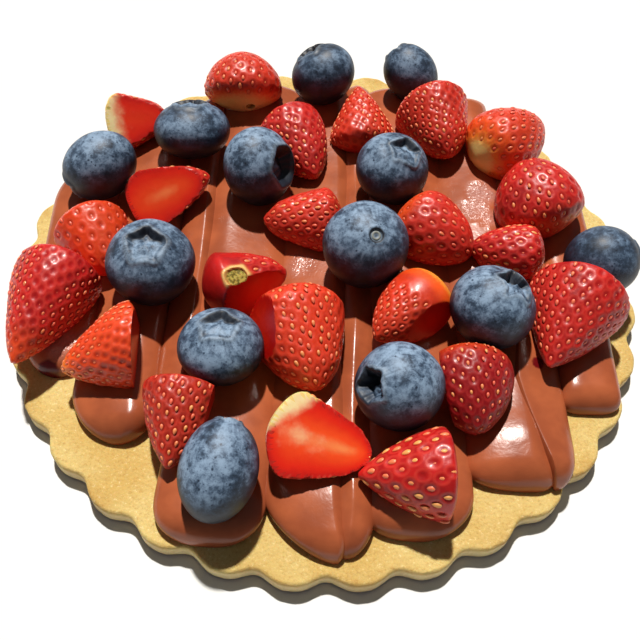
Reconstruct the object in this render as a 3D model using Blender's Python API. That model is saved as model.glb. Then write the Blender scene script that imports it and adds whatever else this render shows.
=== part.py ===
"""A berry tart: a scalloped shortcrust disc, piped strokes of chocolate cream, and fresh berries.

Blender 4.5, metres, +Z up. The origin is the centre of the disc's flat underside, which lies on
the table at Z = 0. The cream is piped in strokes that run along Y and end in rounded lobes just
inside the rim. Strawberries, cut in halves and wedges, and whole blueberries are pressed a
little way into it. Sizes below are in millimetres and degrees and are scaled once, by MM.
"""

import math
from typing import NamedTuple

import bmesh
import bpy
from mathutils import Matrix, Vector

MM = 0.001

# Shortcrust disc
DISC_RADIUS = 70.0          # to the tops of the scallops
DISC_THICKNESS = 4.5
SCALLOP_COUNT = 33
SCALLOP_DEPTH = 2.0         # from the top of a scallop to the notch beside it
SCALLOP_POINTS = 4          # corners round one scallop
NOTCH_BEARING = -142.5      # where the first notch is, round the disc
RIM_ROUNDING = 1.2          # how far the rim's upper edge is rounded off
FOOT_ROUNDING = 0.5         # the same at its foot

# Cream
CREAM_GAP = 0.3             # between the disc and the cream, and round each berry
CREAM_FOOT = DISC_THICKNESS + CREAM_GAP
STROKE_SQUARENESS = 2.6     # across a stroke: 2 is an ellipse, more is boxier
LOBE_SQUARENESS = 3.4       # along a stroke, towards its rounded ends
STROKE_COLUMNS = 8          # facets across a stroke
STROKE_ROWS = 14            # facets along it
FOOT_STAGGER = 0.07         # each stroke starts this much lower than the last, before trimming

# Berries
BERRY_SEGMENTS = 14         # round a berry
BERRY_RINGS = 8             # along it
CROWN_RADIUS = 0.34         # of the blueberry's radius
CROWN_FLOOR = 0.20          # radius of the crown's floor
CROWN_DEPTH = 0.14          # how far the floor lies below the berry's end
CROWN_LIP = 0.02            # how far the lip stands out of the berry's end
STRAWBERRY_SHOULDER = 0.62  # under 1 moves the widest place towards the calyx
STRAWBERRY_FULLNESS = 0.68  # under 1 fills the outline out
TIP_BLUNTNESS = 0.015       # how far the tip is drawn back, as a share of the length

PASTRY = ("shortcrust", (0.80, 0.60, 0.27), 0.85)
CREAM = ("milk chocolate cream", (0.26, 0.085, 0.035), 0.28)
BLUEBERRY = ("blueberry skin", (0.05, 0.08, 0.16), 0.55)
STRAWBERRY = ("strawberry", (0.60, 0.03, 0.02), 0.32)


class Stroke(NamedTuple):
    """One piped stroke: its front and back ends, half its width, and its height."""

    front: tuple
    back: tuple
    half_width: float
    height: float


class Blueberry(NamedTuple):
    """A whole blueberry: its centre, its two diameters, and where its crown points."""

    centre: tuple
    across: float
    along: float
    crown_azimuth: float
    crown_elevation: float


class Cut(NamedTuple):
    """A knife cut: the way the cut face looks, and how far it lies from the berry's centre."""

    azimuth: float
    elevation: float
    offset: float


class Strawberry(NamedTuple):
    """A strawberry piece: centre, uncut length and width, where its tip points, and its cuts.

    hulled is the share of the length that is trimmed off at the calyx. The last two shape the
    outline.
    """

    centre: tuple
    length: float
    width: float
    tip_azimuth: float
    hulled: float
    cuts: tuple
    shoulder: float = STRAWBERRY_SHOULDER
    fullness: float = STRAWBERRY_FULLNESS


def underside(offset):
    """The flat face that a piece lies on, that far below its centre."""
    return Cut(0, -90, offset)


STROKES = (
    Stroke((-54.5, -29.5), (-57.0, 28.0), 8.0, 4.8),
    Stroke((-40.0, -44.5), (-42.0, 49.5), 10.0, 5.4),
    Stroke((-30.0, -50.5), (-31.0, 55.0), 5.0, 4.9),
    Stroke((-19.8, -63.4), (-17.5, 62.0), 11.2, 5.4),
    Stroke((0.6, -66.0), (-1.5, 64.0), 10.6, 5.2),
    Stroke((7.4, -61.0), (7.0, 63.0), 4.0, 5.6),
    Stroke((19.5, -60.8), (18.5, 62.0), 10.6, 5.3),
    Stroke((39.2, -50.8), (31.5, 58.5), 10.6, 5.2),
    Stroke((46.4, -47.0), (37.0, -4.0), 5.2, 5.4),
    Stroke((45.0, -8.0), (43.0, 49.5), 5.8, 5.0),
    Stroke((55.2, -33.0), (54.5, 29.0), 6.8, 4.9),
)

BLUEBERRIES = (
    Blueberry((-2.5, 55.0, 16.0), 16.5, 14.5, 100, 60),
    Blueberry((19.8, 57.2, 15.6), 13.0, 15.5, 140, 35),
    Blueberry((-33.0, 33.0, 16.0), 18.0, 13.5, 95, 50),
    Blueberry((-52.6, 20.0, 16.0), 15.0, 17.5, 215, -20),
    Blueberry((-16.2, 21.3, 16.5), 18.0, 15.5, -36, 41),
    Blueberry((14.5, 23.0, 16.5), 17.0, 15.5, -85, 78),
    Blueberry((-36.5, -8.0, 17.0), 18.5, 16.5, -80, 77),
    Blueberry((8.3, -1.5, 17.8), 18.5, 17.5, -65, 62),
    Blueberry((-20.0, -27.0, 15.5), 17.0, 13.5, -90, 88),
    Blueberry((15.0, -34.8, 16.5), 17.0, 17.5, -144, 41),
    Blueberry((34.2, -15.8, 17.0), 17.5, 16.5, 26, 59),
    Blueberry((59.4, -1.2, 15.2), 14.0, 15.0, 10, 10),
    Blueberry((-17.7, -52.8, 15.5), 14.2, 19.0, 80, 22),
)

STRAWBERRIES = (
    Strawberry((-47.2, 38.3, 13.5), 16.0, 14.0, 15, 0.05, (Cut(-75, 30, 1.0), underside(5.5))),
    Strawberry((-23.0, 54.5, 12.5), 18.0, 18.0, 93, 0.08, (underside(3.0),)),
    Strawberry((-7.6, 33.4, 11.5), 23.0, 15.0, -65, 0.05, (underside(2.0),)),
    Strawberry((7.4, 44.2, 11.5), 23.0, 17.5, 97, 0.15, (underside(2.0),), 0.52, 0.80),
    Strawberry((26.3, 40.5, 13.5), 22.0, 17.5, -75, 0.05, (underside(4.0),)),
    Strawberry((43.3, 36.4, 13.8), 22.0, 15.0, 38, 0.05, (underside(4.0),)),
    Strawberry((47.8, 18.8, 13.6), 19.0, 19.0, 110, 0.08, (underside(4.2),)),
    Strawberry((-35.8, 15.0, 14.2), 20.5, 14.0, 25, 0.05, (Cut(-95, 50, 0.5), underside(6.2))),
    Strawberry((-50.0, 0.2, 12.0), 19.0, 17.0, -60, 0.05, (underside(2.0),)),
    Strawberry((-58.2, -18.6, 13.0), 27.0, 19.5, -104, 0.14, (underside(4.0),), 0.48, 0.80),
    Strawberry((-43.6, -28.2, 12.0), 20.0, 18.5, 205, 0.15,
               (underside(2.4), Cut(5, 15, 6.0)), 0.46, 0.72),
    Strawberry((-16.4, -8.6, 13.2), 19.0, 14.5, 20, 0.05, (Cut(-70, 35, 1.0), underside(5.2))),
    Strawberry((-4.0, -24.5, 13.0), 23.0, 21.0, -69, 0.08,
               (underside(3.0), Cut(-160, 15, 6.5))),
    Strawberry((-5.8, 9.8, 11.5), 18.0, 15.0, 180, 0.05, (underside(2.0),)),
    Strawberry((24.2, 7.2, 12.0), 19.5, 16.0, -40, 0.05, (underside(2.0),)),
    Strawberry((39.9, 2.8, 11.4), 17.5, 12.3, 170, 0.05, (underside(2.0),)),
    Strawberry((49.8, -17.8, 13.0), 25.0, 20.8, -116, 0.16, (underside(4.0),), 0.46, 0.84),
    Strawberry((17.0, -15.4, 13.0), 20.0, 14.0, -134, 0.08, (Cut(-45, 35, 3.0), underside(5.0))),
    Strawberry((28.8, -33.3, 12.5), 18.0, 18.0, -85, 0.05, (underside(3.2), Cut(180, 5, 4.0))),
    Strawberry((-27.0, -43.5, 12.0), 20.0, 15.5, -94, 0.18,
               (underside(2.5), Cut(-20, 15, 3.5)), 0.50, 0.76),
    Strawberry((0.5, -46.0, 14.0), 21.5, 17.0, -15, 0.05, (Cut(-70, 62, 1.0), underside(6.0))),
    Strawberry((15.8, -50.8, 12.0), 21.0, 17.5, 183, 0.18, (underside(3.6),), 0.50, 0.80),
)


def clear_scene():
    """Empty the scene, so that the script gives the same result each time it is run."""
    for thing in list(bpy.data.objects):
        bpy.data.objects.remove(thing)


def finish_of(name, colour, roughness):
    """A plain finish for one sub-part."""
    material = bpy.data.materials.new(name)
    material.use_nodes = True
    shader = material.node_tree.nodes["Principled BSDF"]
    shader.inputs["Base Color"].default_value = (*colour, 1.0)
    shader.inputs["Roughness"].default_value = roughness
    shader.inputs["Metallic"].default_value = 0.0
    return material


def new_object(name, bm, smooth_angle=math.radians(40)):
    """Make an object of bm, in metres, with its faces pointing out and its round parts smooth."""
    bmesh.ops.recalc_face_normals(bm, faces=bm.faces)
    bmesh.ops.scale(bm, vec=(MM, MM, MM), verts=bm.verts)
    mesh = bpy.data.meshes.new(name)
    bm.to_mesh(mesh)
    bm.free()
    mesh.shade_smooth()
    mesh.set_sharp_from_angle(angle=smooth_angle)
    thing = bpy.data.objects.new(name, mesh)
    bpy.context.scene.collection.objects.link(thing)
    return thing


def direction(azimuth, elevation):
    """The unit vector that looks that way."""
    level, up = math.radians(azimuth), math.radians(elevation)
    return Vector((math.cos(up) * math.cos(level), math.cos(up) * math.sin(level), math.sin(up)))


def bridge(bm, lower, upper):
    """Join two closed rings of vertices with a band of faces."""
    for i, corner in enumerate(lower):
        following = (i + 1) % len(lower)
        bm.faces.new((corner, lower[following], upper[following], upper[i]))


# The shortcrust disc


def scallop_radius(bearing, inset):
    """The disc's radius at a bearing: rounded scallops with narrower notches between them."""
    phase = (bearing - NOTCH_BEARING) * SCALLOP_COUNT / 360.0
    dip = abs(math.cos(math.pi * phase)) ** 3
    return DISC_RADIUS - inset - SCALLOP_DEPTH * dip


def disc_ring(bm, inset, height):
    """One ring of corners round the disc."""
    count = SCALLOP_COUNT * SCALLOP_POINTS
    ring = []
    for i in range(count):
        bearing = NOTCH_BEARING + 360.0 * i / count
        radius = scallop_radius(bearing, inset)
        angle = math.radians(bearing)
        ring.append(bm.verts.new((radius * math.cos(angle), radius * math.sin(angle), height)))
    return ring


def pastry_base():
    """The flat disc, with its edge rounded above and below."""
    bm = bmesh.new()
    rings = [
        disc_ring(bm, FOOT_ROUNDING, 0.0),
        disc_ring(bm, 0.0, FOOT_ROUNDING),
        disc_ring(bm, 0.0, DISC_THICKNESS - RIM_ROUNDING),
        disc_ring(bm, RIM_ROUNDING, DISC_THICKNESS),
    ]
    for lower, upper in zip(rings, rings[1:]):
        bridge(bm, lower, upper)
    bm.faces.new(rings[0])
    bm.faces.new(rings[-1])
    return new_object("pastry_base", bm)


# The cream


def superellipse(angle, squareness):
    """The two coordinates of a unit superellipse at an angle, for an angle from -90 to 180."""
    power = 2.0 / squareness
    across, up = math.cos(angle), math.sin(angle)
    return (
        math.copysign(abs(across) ** power, across),
        math.copysign(abs(up) ** power, up),
    )


def stroke_body(stroke, foot):
    """A closed solid for one stroke: arched across, and rounded down at both ends."""
    bm = bmesh.new()
    front, back = Vector(stroke.front), Vector(stroke.back)
    middle, reach = (front + back) / 2, (back - front) / 2
    side = Vector((reach.y, -reach.x)).normalized() * stroke.half_width
    rows = []
    for i in range(1, STROKE_ROWS):
        share, along = superellipse(math.pi * (i / STROKE_ROWS - 0.5), LOBE_SQUARENESS)
        row = []
        for j in range(STROKE_COLUMNS + 1):
            across, up = superellipse(math.pi * j / STROKE_COLUMNS, STROKE_SQUARENESS)
            place = middle + reach * along + side * across * share
            row.append(bm.verts.new((place.x, place.y, foot + stroke.height * up * share)))
        rows.append(row)
    ends = [bm.verts.new((*end, foot)) for end in (front, back)]
    for row, following in zip(rows, rows[1:]):
        for j in range(STROKE_COLUMNS):
            bm.faces.new((row[j], row[j + 1], following[j + 1], following[j]))
    for end, row in zip(ends, (rows[0], rows[-1])):
        for j in range(STROKE_COLUMNS):
            bm.faces.new((end, row[j], row[j + 1]))
    rim = [row[0] for row in rows] + [ends[1]] + [row[-1] for row in reversed(rows)] + [ends[0]]
    bm.faces.new(rim)
    return bm


def boolean(thing, operation, cutters, self_crossing=False):
    """Apply one Boolean of a list of objects to thing, and remove those objects."""
    shelf = bpy.data.collections.new("cutters")
    for cutter in cutters:
        shelf.objects.link(cutter)
    modifier = thing.modifiers.new(operation.lower(), "BOOLEAN")
    modifier.operation = operation
    modifier.operand_type = "COLLECTION"
    modifier.collection = shelf
    modifier.solver = "EXACT"
    modifier.use_self = self_crossing
    shaped = thing.evaluated_get(bpy.context.evaluated_depsgraph_get())
    mesh = bpy.data.meshes.new_from_object(shaped)
    thing.modifiers.clear()
    thing.data = mesh
    for cutter in cutters:
        bpy.data.objects.remove(cutter)
    bpy.data.collections.remove(shelf)


def slab_below(level):
    """A block under the whole tart, up to a level, that trims the cream flat."""
    bm = bmesh.new()
    bmesh.ops.create_cube(bm, size=4 * DISC_RADIUS)
    bmesh.ops.translate(bm, vec=(0, 0, level - 2 * DISC_RADIUS), verts=bm.verts)
    return new_object("slab", bm)


def chocolate_cream():
    """All the strokes in one, flat below, with a hollow where each berry sits."""
    strokes = []
    for number, stroke in enumerate(STROKES):
        foot = CREAM_FOOT - FOOT_STAGGER * (number + 1)
        strokes.append(new_object(f"stroke_{number}", stroke_body(stroke, foot)))
    cream, others = strokes[0], strokes[1:]
    boolean(cream, "UNION", others)
    boolean(cream, "DIFFERENCE", [slab_below(CREAM_FOOT)])
    hollows = [blueberry("hollow", berry, CREAM_GAP) for berry in BLUEBERRIES]
    hollows += [strawberry("hollow", piece, CREAM_GAP) for piece in STRAWBERRIES]
    boolean(cream, "DIFFERENCE", hollows, self_crossing=True)
    cream.name = "chocolate_cream"
    return cream


# The berries


def turned_body(profile):
    """A solid of revolution round +Z: profile runs from one pole to the other, as (radius, height)."""
    bm = bmesh.new()
    poles = [bm.verts.new((0, 0, height)) for _, height in (profile[0], profile[-1])]
    rings = []
    for radius, height in profile[1:-1]:
        turns = [2 * math.pi * i / BERRY_SEGMENTS for i in range(BERRY_SEGMENTS)]
        ring = [(radius * math.cos(turn), radius * math.sin(turn), height) for turn in turns]
        rings.append([bm.verts.new(corner) for corner in ring])
    for lower, upper in zip(rings, rings[1:]):
        bridge(bm, lower, upper)
    for pole, ring in zip(poles, (rings[0], rings[-1])):
        for i, corner in enumerate(ring):
            bm.faces.new((pole, corner, ring[(i + 1) % len(ring)]))
    return bm


def stand_along(thing, centre, axis):
    """Place thing with its own +Z along axis."""
    thing.rotation_mode = "QUATERNION"
    thing.rotation_quaternion = axis.to_track_quat("Z", "Y")
    thing.location = Vector(centre) * MM
    bpy.context.view_layer.update()
    return thing


def blueberry(name, berry, grow=0.0):
    """A blueberry: a slightly flattened ball with a shallow crown sunk into one end."""
    across, along = berry.across / 2 + grow, berry.along / 2 + grow
    profile = [(0.0, -along)]
    crown_angle = math.asin(CROWN_RADIUS)
    for i in range(1, BERRY_RINGS):
        angle = math.pi - (math.pi - crown_angle) * i / (BERRY_RINGS - 1)
        profile.append((across * math.sin(angle), along * math.cos(angle)))
    lip = profile[-1]
    profile[-1] = (lip[0], lip[1] + CROWN_LIP * along)
    profile.append((CROWN_FLOOR * across, (1 - CROWN_DEPTH) * along))
    profile.append((0.0, (1 - CROWN_DEPTH) * along))
    thing = new_object(name, turned_body(profile))
    return stand_along(thing, berry.centre, direction(berry.crown_azimuth, berry.crown_elevation))


def strawberry_profile(piece, grow):
    """From the hulled end to the tip: wide shoulders, then a taper to a blunt point."""
    length = piece.length + 2 * grow
    middle = (1 + piece.hulled) / 2
    profile = []
    for i in range(BERRY_RINGS + 1):
        share = 0.5 - 0.5 * math.cos(math.pi * i / BERRY_RINGS)
        along = piece.hulled + (1 - piece.hulled) * share
        swell = math.sin(math.pi * min(along, 1.0) ** piece.shoulder)
        radius = (piece.width / 2 + grow) * max(swell, 0.0) ** piece.fullness
        profile.append((radius, (along - middle) * length))
    profile[-1] = (0.0, profile[-1][1] - TIP_BLUNTNESS * length)
    return [(0.0, profile[0][1])] + profile


def slice_off(bm, normal, distance):
    """Cut away what lies past a plane, and close the cut with one flat face."""
    everything = bm.verts[:] + bm.edges[:] + bm.faces[:]
    cut = bmesh.ops.bisect_plane(
        bm, geom=everything, plane_co=normal * distance, plane_no=normal, clear_outer=True
    )
    edges = [part for part in cut["geom_cut"] if isinstance(part, bmesh.types.BMEdge)]
    bmesh.ops.contextual_create(bm, geom=edges)


def strawberry(name, piece, grow=0.0):
    """A strawberry piece: a turned body with its knife cuts taken off."""
    axis = direction(piece.tip_azimuth, 0)
    into_piece = axis.to_track_quat("Z", "Y").to_matrix().inverted()
    bm = turned_body(strawberry_profile(piece, grow))
    for cut in piece.cuts:
        normal = into_piece @ direction(cut.azimuth, cut.elevation)
        slice_off(bm, normal, cut.offset + grow)
    return stand_along(new_object(name, bm), piece.centre, axis)


def main():
    """Build every sub-part and give each its own finish."""
    clear_scene()
    dressed = [(pastry_base(), PASTRY), (chocolate_cream(), CREAM)]
    for number, berry in enumerate(BLUEBERRIES, start=1):
        dressed.append((blueberry(f"blueberry_{number:02d}", berry), BLUEBERRY))
    for number, piece in enumerate(STRAWBERRIES, start=1):
        dressed.append((strawberry(f"strawberry_{number:02d}", piece), STRAWBERRY))
    for thing, (name, colour, roughness) in dressed:
        thing.data.materials.clear()
        thing.data.materials.append(finish_of(name, colour, roughness))


main()
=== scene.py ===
"""The looks of a berry chocolate tart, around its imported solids.

A scalloped shortcrust disc carries piped folds of milk chocolate cream, whole blueberries and
cut strawberries. Sizes in the tables are in millimetres and degrees. Meshes are in metres.
"""

import logging
import math
import random
from contextlib import contextmanager
from dataclasses import dataclass, field
from enum import Enum
from typing import Any, Callable, Iterable, Iterator, Optional, Sequence

import bpy
import numpy as np
from mathutils import Matrix, Vector, noise

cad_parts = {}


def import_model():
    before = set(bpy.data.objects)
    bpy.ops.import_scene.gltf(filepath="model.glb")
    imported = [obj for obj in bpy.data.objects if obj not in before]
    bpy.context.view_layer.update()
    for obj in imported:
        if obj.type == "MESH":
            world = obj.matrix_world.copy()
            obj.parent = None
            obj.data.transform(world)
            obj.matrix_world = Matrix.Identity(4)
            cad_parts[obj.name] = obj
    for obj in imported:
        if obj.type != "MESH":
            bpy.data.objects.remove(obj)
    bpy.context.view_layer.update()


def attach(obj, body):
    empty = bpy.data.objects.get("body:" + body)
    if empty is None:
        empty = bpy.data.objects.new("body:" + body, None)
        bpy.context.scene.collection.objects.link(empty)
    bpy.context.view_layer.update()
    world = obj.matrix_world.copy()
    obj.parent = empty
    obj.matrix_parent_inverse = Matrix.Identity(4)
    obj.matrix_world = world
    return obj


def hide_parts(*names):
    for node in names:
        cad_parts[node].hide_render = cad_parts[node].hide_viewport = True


log = logging.getLogger("tart")

MM = 0.001
UP = np.array((0.0, 0.0, 1.0))
GOLDEN_TURN = 2.39996  # radians from each pip to the next
HEXAGON_SHARE = 0.866  # of its spacing squared: the area that one pip takes up
Point = tuple[float, float, float]
Colour = tuple[float, float, float]
Thing = bpy.types.Object
Material = bpy.types.Material


def tone(red: int, green: int, blue: int) -> Colour:
    """The linear colour of a swatch, by the sRGB curve.

    Args:
        red: the swatch's red, 0 to 255.
        green: its green.
        blue: its blue.

    Returns:
        The colour as Blender's shaders take it.
    """
    return tuple(
        c / 12.92 if c <= 0.04045 else ((c + 0.055) / 1.055) ** 2.4
        for c in (red / 255, green / 255, blue / 255)
    )


def looking(azimuth: float, elevation: float) -> np.ndarray:
    """The unit vector that looks that way, from angles in degrees."""
    level, up = math.radians(azimuth), math.radians(elevation)
    return np.array(
        (math.cos(up) * math.cos(level), math.cos(up) * math.sin(level), math.sin(up))
    )


def standing(azimuth: float, elevation: float) -> np.ndarray:
    """The turn that points +Z that way, as a 3 by 3 matrix."""
    return np.array(Vector(looking(azimuth, elevation)).to_track_quat("Z", "Y").to_matrix())


def level_ways(turn: np.ndarray) -> np.ndarray:
    """The level unit vectors at these bearings, in radians, one in each row."""
    return np.column_stack((np.cos(turn), np.sin(turn), np.zeros(len(turn))))


def eased(values: np.ndarray, low: float, high: float) -> np.ndarray:
    """0 below low, 1 above high, and a smooth climb between them."""
    share = np.clip((values - low) / (high - low), 0.0, 1.0)
    return share * share * (3.0 - 2.0 * share)


def hump(values: np.ndarray, middle: float, width: float) -> np.ndarray:
    """1 at the middle, falling away smoothly over the width on both sides."""
    return np.exp(-(((values - middle) / width) ** 2))


def lumps(points: np.ndarray, size: float, seed: float) -> np.ndarray:
    """Smooth random heights, from about -1 to 1.

    Args:
        points: places, in millimetres, one in each row.
        size: how wide a lump is, in millimetres.
        seed: shifts the pattern, so that no two pieces share it.

    Returns:
        One height for each place.
    """
    shift = np.array((seed * 17.3, seed * 5.1, seed * 29.7))
    return np.array([noise.noise(Vector(place)) for place in points / size + shift])


def noise_round(turn: np.ndarray, seed: float) -> np.ndarray:
    """Random heights from 0 to 1 that change with the bearing alone."""
    return np.clip(0.5 + 0.8 * lumps(level_ways(turn), 0.09, seed), 0, 1)


# -------- shader maths


def maths(operation: str, swapped: bool = False) -> Callable[["Wire", Any], "Wire"]:
    """A method that puts a Wire and another value through one Math node.

    Args:
        operation: the node's operation.
        swapped: whether the other value comes first, as in a reflected operator.

    Returns:
        The method.
    """

    def apply(wire: "Wire", other: Any) -> "Wire":
        """One Math node on the two."""
        values = (other, wire) if swapped else (wire, other)
        return wire.graph.node("ShaderNodeMath", {"operation": operation}, values)

    return apply


class Wire:
    """One value inside a shader, on which Python arithmetic adds Math nodes."""

    def __init__(self, graph: "Graph", socket: bpy.types.NodeSocket) -> None:
        """Wrap an output socket of a graph."""
        self.graph = graph
        self.socket = socket

    __add__, __radd__ = maths("ADD"), maths("ADD", swapped=True)
    __sub__, __rsub__ = maths("SUBTRACT"), maths("SUBTRACT", swapped=True)
    __mul__, __rmul__ = maths("MULTIPLY"), maths("MULTIPLY", swapped=True)
    __truediv__, __rtruediv__ = maths("DIVIDE"), maths("DIVIDE", swapped=True)
    __pow__, __rpow__ = maths("POWER"), maths("POWER", swapped=True)
    highest = maths("MAXIMUM")

    def eased(self, low: float, high: float) -> "Wire":
        """0 at low, 1 at high, and a smooth climb between them."""
        settings = {"interpolation_type": "SMOOTHSTEP"}
        return self.graph.node("ShaderNodeMapRange", settings, (self, low, high))


class Graph:
    """The node tree of one material."""

    def __init__(self, name: str) -> None:
        """Start a material with a Principled shader."""
        self.material = bpy.data.materials.new(name)
        self.material.use_nodes = True
        self.tree = self.material.node_tree
        self.shader = self.tree.nodes["Principled BSDF"]

    def _feed(self, socket: bpy.types.NodeSocket, value: Any) -> None:
        """Set a socket, or link it where the value is a Wire."""
        if isinstance(value, Wire):
            self.tree.links.new(value.socket, socket)
        elif isinstance(value, tuple) and len(value) == 3 and socket.type == "RGBA":
            socket.default_value = (*value, 1.0)
        else:
            socket.default_value = value

    def node(
        self,
        kind: str,
        settings: Optional[dict[str, Any]] = None,
        inputs: Any = (),
        output: Any = 0,
    ) -> Wire:
        """Add any node.

        Args:
            kind: the node's type.
            settings: its settings, which are set first.
            inputs: values or Wires, in order or by socket name or number.
            output: the name or number of the output that is wanted.

        Returns:
            That output.
        """
        made = self.tree.nodes.new(kind)
        for name, value in (settings or {}).items():
            setattr(made, name, value)
        pairs = inputs.items() if isinstance(inputs, dict) else enumerate(inputs)
        for key, value in pairs:
            self._feed(made.inputs[key], value)
        return Wire(self, made.outputs[output])

    def place(self) -> Wire:
        """Where a point is on the object."""
        return self.node("ShaderNodeTexCoord", output="Object")

    def measure(self, name: str) -> Wire:
        """A number that the mesh carries at each of its vertices."""
        return self.node("ShaderNodeAttribute", {"attribute_name": name}, output="Fac")

    def clouds(
        self, size: float, detail: float = 2.0, rough: float = 0.5, warp: float = 0.0
    ) -> Wire:
        """Soft noise from 0 to 1.

        Args:
            size: the width of its largest patches, in millimetres.
            detail: how many finer octaves it has.
            rough: how strong those are.
            warp: how much the patches are twisted.

        Returns:
            The noise.
        """
        values = {
            "Vector": self.place(),
            "Scale": 1.0 / (size * MM),
            "Detail": detail,
            "Roughness": rough,
            "Distortion": warp,
        }
        return self.node("ShaderNodeTexNoise", inputs=values, output="Fac")

    def grains(self, size: float) -> Wire:
        """The distance to the nearest of many scattered points, in cells of that size."""
        values = {"Vector": self.place(), "Scale": 1.0 / (size * MM), "Randomness": 1.0}
        return self.node("ShaderNodeTexVoronoi", inputs=values, output="Distance")

    def blend(self, share: Any, first: Any, second: Any) -> Wire:
        """A colour that goes from first to second as share goes from 0 to 1."""
        return self.node(
            "ShaderNodeMix", {"data_type": "RGBA"}, {0: share, 6: first, 7: second}, output=2
        )

    def coated(self, colour: Any, *coats: tuple[Any, Any]) -> Any:
        """Lay coats over a colour.

        Args:
            colour: the colour at the bottom.
            coats: for each, how much it covers, from 0 to 1, and its colour.

        Returns:
            The colour that shows.
        """
        for share, coat in coats:
            colour = self.blend(share, colour, coat)
        return colour

    def axes(self) -> tuple[Wire, Wire, Wire]:
        """The three coordinates of a point, in millimetres."""
        where = self.place()
        return tuple(
            self.node("ShaderNodeSeparateXYZ", inputs=(where,), output=i) * (1 / MM)
            for i in range(3)
        )

    def bump(self, height: Wire, depth: float) -> Wire:
        """A normal from a height of 0 to 1, which stands for depth millimetres."""
        values = {"Height": height, "Distance": depth * MM, "Strength": 1.0}
        return self.node("ShaderNodeBump", inputs=values, output="Normal")

    def finish(self, **sockets: Any) -> Material:
        """Feed the shader, by socket names with their spaces as underscores.

        Args:
            sockets: a value or a Wire for each.

        Returns:
            The finished material.
        """
        for name, value in sockets.items():
            self._feed(self.shader.inputs[name.replace("_", " ")], value)
        return self.material


# -------- finishes


@dataclass(frozen=True)
class ShortcrustFinish:
    """Baked shortcrust: a sandy golden crumb, browner at its foot and on the scallops, its wall
    painted paler as painted light against its shade.
    """

    pale: Colour = tone(213, 188, 121)
    golden: Colour = tone(203, 169, 97)
    grit: Colour = tone(180, 136, 70)
    flour: Colour = tone(255, 240, 190)
    # painted light: a paler colour for the upright wall, which stands in shade
    side: Colour = tone(244, 222, 168)
    browned: Colour = tone(140, 82, 32)
    grain: float = 0.6
    bump_depth: float = 0.16

    def material(self) -> Material:
        """Build the material."""
        g = Graph("shortcrust")
        x, y, z = g.axes()
        broad = g.clouds(16.0, 3.0)
        grain = g.clouds(self.grain, 4.0, 0.7)
        rim = ((x * x + y * y) ** 0.5).eased(66.0, 70.0)
        foot = 1.0 - z.eased(0.3, 1.1)
        colour = g.coated(
            self.pale,
            (broad.eased(0.35, 0.65), self.golden),
            (grain.eased(0.5, 0.72) * 0.65, self.grit),
            ((1.0 - grain).eased(0.56, 0.74) * 0.5, self.flour),
            # painted light: the wall below the top is painted paler, to offset the shade it stands
            # in
            ((1.0 - z.eased(2.5, 4.4)) * (1.0 - grain * 0.4), self.side),
            ((rim * broad.eased(0.45, 0.6) * 0.2).highest(foot), self.browned),
        )
        relief = g.clouds(self.grain, 4.0, 0.75) + g.grains(0.6) * 0.5
        return g.finish(
            Base_Color=colour,
            Roughness=0.9 - grain * 0.12,
            Normal=g.bump(relief, self.bump_depth),
            Specular_IOR_Level=0.25,
            Subsurface_Weight=0.25,
            Subsurface_Radius=(1.0, 0.55, 0.25),
            Subsurface_Scale=2.2 * MM,
        )


@dataclass(frozen=True)
class CreamFinish:
    """Milk chocolate cream: smooth and satin, with faint smears, and a pale painted sheen on its
    crinkled patches.
    """

    milk: Colour = tone(173, 91, 55)
    dark: Colour = tone(147, 74, 45)
    # painted highlight: the pale sheen laid on the crinkled patches
    crinkle_sheen: Colour = tone(204, 160, 152)
    juice: Colour = tone(96, 10, 16)
    gloss: float = 0.2
    bump_depth: float = 0.7

    def material(self) -> Material:
        """Build the material."""
        g = Graph("chocolate cream")
        broad = g.clouds(9.0, 3.0, 0.55)
        smear = g.clouds(1.6, 4.0, 0.6, warp=0.4)
        crinkle, juice = g.measure("crinkle"), g.measure("juice")
        colour = g.coated(
            self.milk,
            (broad.eased(0.3, 0.7), self.dark),
            # painted highlight: crinkled patches are tinted pale, a painted sheen on top of their
            # bumps
            (crinkle * 0.6, self.crinkle_sheen),
            ((juice + (smear - 0.5) * 0.5).eased(0.3, 0.6), self.juice),
        )
        relief = smear * 0.06 + g.clouds(0.9, 2.0, 0.6, warp=0.6) * crinkle
        return g.finish(
            Base_Color=colour,
            Roughness=self.gloss + smear * 0.06,
            Normal=g.bump(relief, self.bump_depth),
            Specular_IOR_Level=0.4,
        )


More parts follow.
